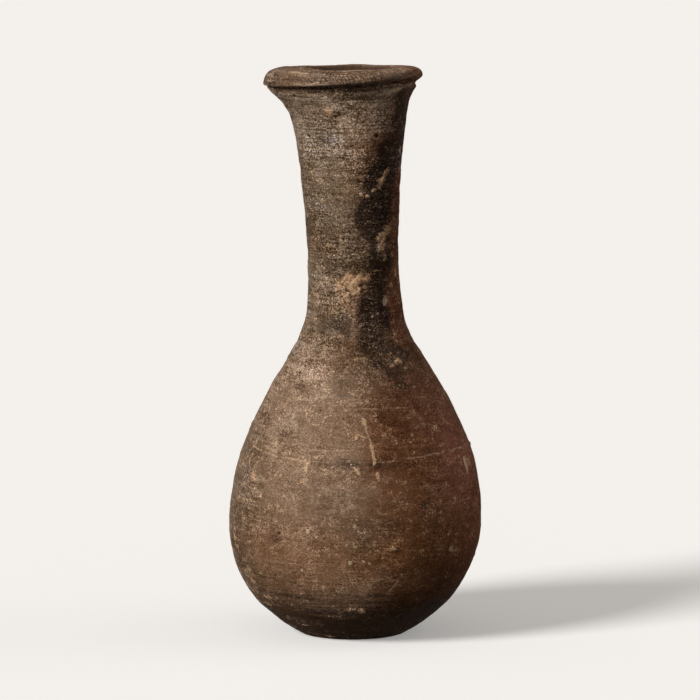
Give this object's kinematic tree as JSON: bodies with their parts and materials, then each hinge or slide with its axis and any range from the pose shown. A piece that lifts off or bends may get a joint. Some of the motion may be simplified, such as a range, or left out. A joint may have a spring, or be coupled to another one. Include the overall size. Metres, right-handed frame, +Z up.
{
  "type": "ceramic unguentarium",
  "caption": "Small pear-shaped ceramic flask with a long narrow neck, a flared rolled lip and a flat foot, for pouring oil or perfume.",
  "frame": {"origin": "middle of the plane of the flat foot, straight under the belly", "axes": "+Z up along the neck, -Y towards the viewer of the picture, +X to the viewer's right"},
  "size_m": [0.0623, 0.0622, 0.1412],
  "materials": {
    "base_clay": "matt fired clay, smoked dark, with turning lines",
    "body_clay": "matt fired clay, brown, with fine turning lines and pale scars",
    "shoulder_clay": "matt fired clay, grey-brown, smoked towards the neck",
    "neck_clay": "matt fired clay, fire-clouded, with worn orange patches",
    "lip_clay": "matt fired clay, rubbed pale on the crest",
    "slip": "matt hardened slip, thin and slightly paler"
  },
  "bodies": {
    "root": {"base_pad": "base_clay", "slip_ring_base": "slip", "lower_body": "body_clay", "slip_ring_belly": "slip", "upper_body": "shoulder_clay", "slip_ring_neck": "slip", "neck": "neck_clay", "slip_ring_lip": "slip", "lip": "lip_clay"}
  },
  "joints": []
}
